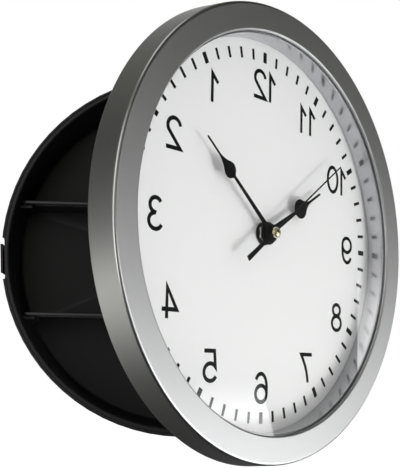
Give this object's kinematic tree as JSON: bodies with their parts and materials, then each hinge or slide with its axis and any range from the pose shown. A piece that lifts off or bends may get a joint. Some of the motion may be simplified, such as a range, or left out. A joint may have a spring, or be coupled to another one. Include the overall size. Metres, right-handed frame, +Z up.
{
  "type": "clock diversion safe",
  "caption": "Round wall clock whose framed dial is a side-hinged door over a shallow round black tub with shelves for hiding valuables.",
  "frame": {"origin": "centre of the flat rear face of the tub, which lies against the wall", "axes": "+Z up, +Y into the wall; the tub opens towards -Y and the door is hinged on the +X side, shown 45 degrees open as in the picture"},
  "size_m": [0.2577, 0.2334, 0.254],
  "materials": {
    "black_plastic": "fine satin moulding",
    "shelf_plastic": "satin moulding",
    "steel": "bright",
    "satin_silver": "satin silver paint",
    "gloss_silver": "glossy silver paint",
    "clear_lens": "clear, polished",
    "dial_white": "matt print",
    "hand_black": "satin black",
    "brass": "polished",
    "movement_plastic": "moulded",
    "rubber_black": "matt",
    "battery_wrap": "printed film"
  },
  "bodies": {
    "housing": {"tub": "black_plastic", "shelf_upper": "shelf_plastic", "shelf_lower": "shelf_plastic", "hinge_pin_upper": "steel", "hinge_pin_lower": "steel"},
    "latch": {"latch_tongue": "black_plastic"},
    "door": {"bezel_ring": "satin_silver", "lens": "clear_lens", "inner_ring": "gloss_silver", "dial_plate": "dial_white", "door_pan": "black_plastic", "pan_screw_1": "steel", "pan_screw_2": "steel", "pan_screw_3": "steel", "pan_screw_4": "steel", "pan_screw_5": "steel", "pan_screw_6": "steel", "movement_case": "movement_plastic", "battery": "battery_wrap", "contact_flat": "steel", "contact_spring": "steel", "shaft_bush": "brass", "shaft_washer": "rubber_black", "shaft_nut": "brass"},
    "hour": {"hour_tube": "brass", "hour_hand": "hand_black"},
    "minute": {"minute_arbor": "brass", "minute_hand": "hand_black"},
    "second": {"second_arbor": "steel", "second_hand": "hand_black", "second_cap": "brass"},
    "knob": {"set_knob": "movement_plastic"}
  },
  "joints": [
    {"name": "door_hinge", "type": "hinge", "parent": "housing", "child": "door", "pos_m": [0.1296, -0.0418, 0], "axis": [0, 0, 1], "range_deg": [-45, 65]},
    {"name": "latch_flex", "type": "hinge", "parent": "housing", "child": "latch", "pos_m": [-0.11844, -0.0164, -0.00698], "axis": [-0.0588, 0, 0.9983], "range_deg": [0, 1.5], "stiffness_Nm_per_rad": 1},
    {"name": "second_turn", "type": "hinge", "parent": "door", "child": "second", "pos_m": [0.04538, -0.14087, 0], "axis": [0.7071, -0.7071, 0], "continuous": true},
    {"name": "minute_turn", "type": "hinge", "parent": "door", "child": "minute", "pos_m": [0.04397, -0.13945, 0], "axis": [0.7071, -0.7071, 0], "continuous": true},
    {"name": "hour_turn", "type": "hinge", "parent": "door", "child": "hour", "pos_m": [0.04256, -0.13804, 0], "axis": [0.7071, -0.7071, 0], "continuous": true},
    {"name": "knob_turn", "type": "hinge", "parent": "door", "child": "knob", "pos_m": [0.02466, -0.12015, 0], "axis": [0.7071, -0.7071, 0], "continuous": true}
  ],
  "couplings": [
    {"joint": "minute_turn", "follows": "second_turn", "ratio": 0.016667},
    {"joint": "hour_turn", "follows": "second_turn", "ratio": 0.0013889},
    {"joint": "knob_turn", "follows": "second_turn", "ratio": 0.016667}
  ]
}
